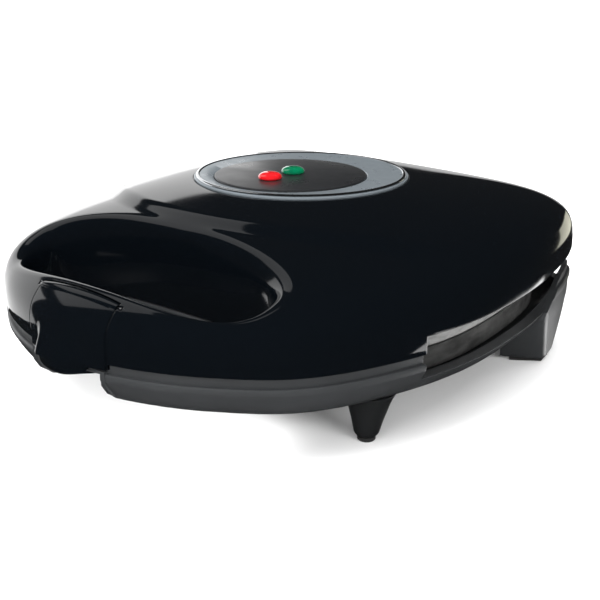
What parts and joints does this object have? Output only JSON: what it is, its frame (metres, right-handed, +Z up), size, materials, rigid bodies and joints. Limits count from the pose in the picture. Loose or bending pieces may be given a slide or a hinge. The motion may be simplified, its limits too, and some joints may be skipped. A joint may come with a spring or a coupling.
{
  "type": "donut maker",
  "caption": "Clamshell donut maker with a domed hinged lid, a loop handle with a latch clip, ring-shaped baking cavities, pilot lamps and feet.",
  "frame": {"origin": "middle of the footprint, on the floor", "axes": "+Z up, -Y towards the handle and the latch, +Y towards the hinge"},
  "size_m": [0.2442, 0.2682, 0.0944],
  "materials": {
    "black_gloss": "high gloss moulded",
    "black_satin": "satin moulded",
    "dark_metal": "rough dark coating",
    "coated_plate": "dark non-stick coating",
    "steel": "bare sheet and rod",
    "silver_trim": "satin silver",
    "red_lens": "translucent red",
    "green_lens": "translucent green",
    "rubber": "matt",
    "bulb_glass": "clear neon bulb",
    "white_sleeve": "woven heat-proof sleeve",
    "ceramic": "unglazed"
  },
  "bodies": {
    "base": {"base_shell": "black_satin", "base_handle_cover": "black_satin", "bottom_cover": "black_satin", "lower_frame": "dark_metal", "lower_plate": "coated_plate", "lower_heater": "steel", "lower_reflector": "steel", "terminal_block": "ceramic", "cable_gland": "rubber", "front_foot_right": "black_satin", "front_foot_left": "black_satin", "front_pad_right": "rubber", "front_pad_left": "rubber", "rear_pad_right": "rubber", "rear_pad_left": "rubber", "hinge_pin_right": "steel", "hinge_pin_left": "steel", "base_handle_screw_right": "steel", "base_handle_screw_left": "steel", "cover_screw_1": "steel", "cover_screw_2": "steel", "cover_screw_3": "steel", "cover_screw_4": "steel"},
    "lid": {"lid_shell": "black_gloss", "trim_ring": "silver_trim", "badge_disc": "black_satin", "red_lens": "red_lens", "green_lens": "green_lens", "power_lamp": "bulb_glass", "ready_lamp": "bulb_glass", "lamp_board": "ceramic", "lid_handle_cover": "black_satin", "upper_frame": "dark_metal", "upper_plate": "coated_plate", "upper_heater": "steel", "upper_reflector": "steel", "thermostat": "steel", "thermal_fuse": "white_sleeve", "lid_wire_sleeve": "white_sleeve", "lid_handle_screw_right": "steel", "lid_handle_screw_left": "steel", "latch_pin": "steel"},
    "latch": {"latch_clip": "black_gloss"}
  },
  "joints": [
    {"name": "lid_hinge", "type": "hinge", "parent": "base", "child": "lid", "pos_m": [0, 0.125, 0.041], "axis": [-1, 0, 0], "range_deg": [0, 100]},
    {"name": "latch_hinge", "type": "hinge", "parent": "lid", "child": "latch", "pos_m": [0, -0.118, 0.0618], "axis": [-1, 0, 0], "range_deg": [0, 80]}
  ]
}
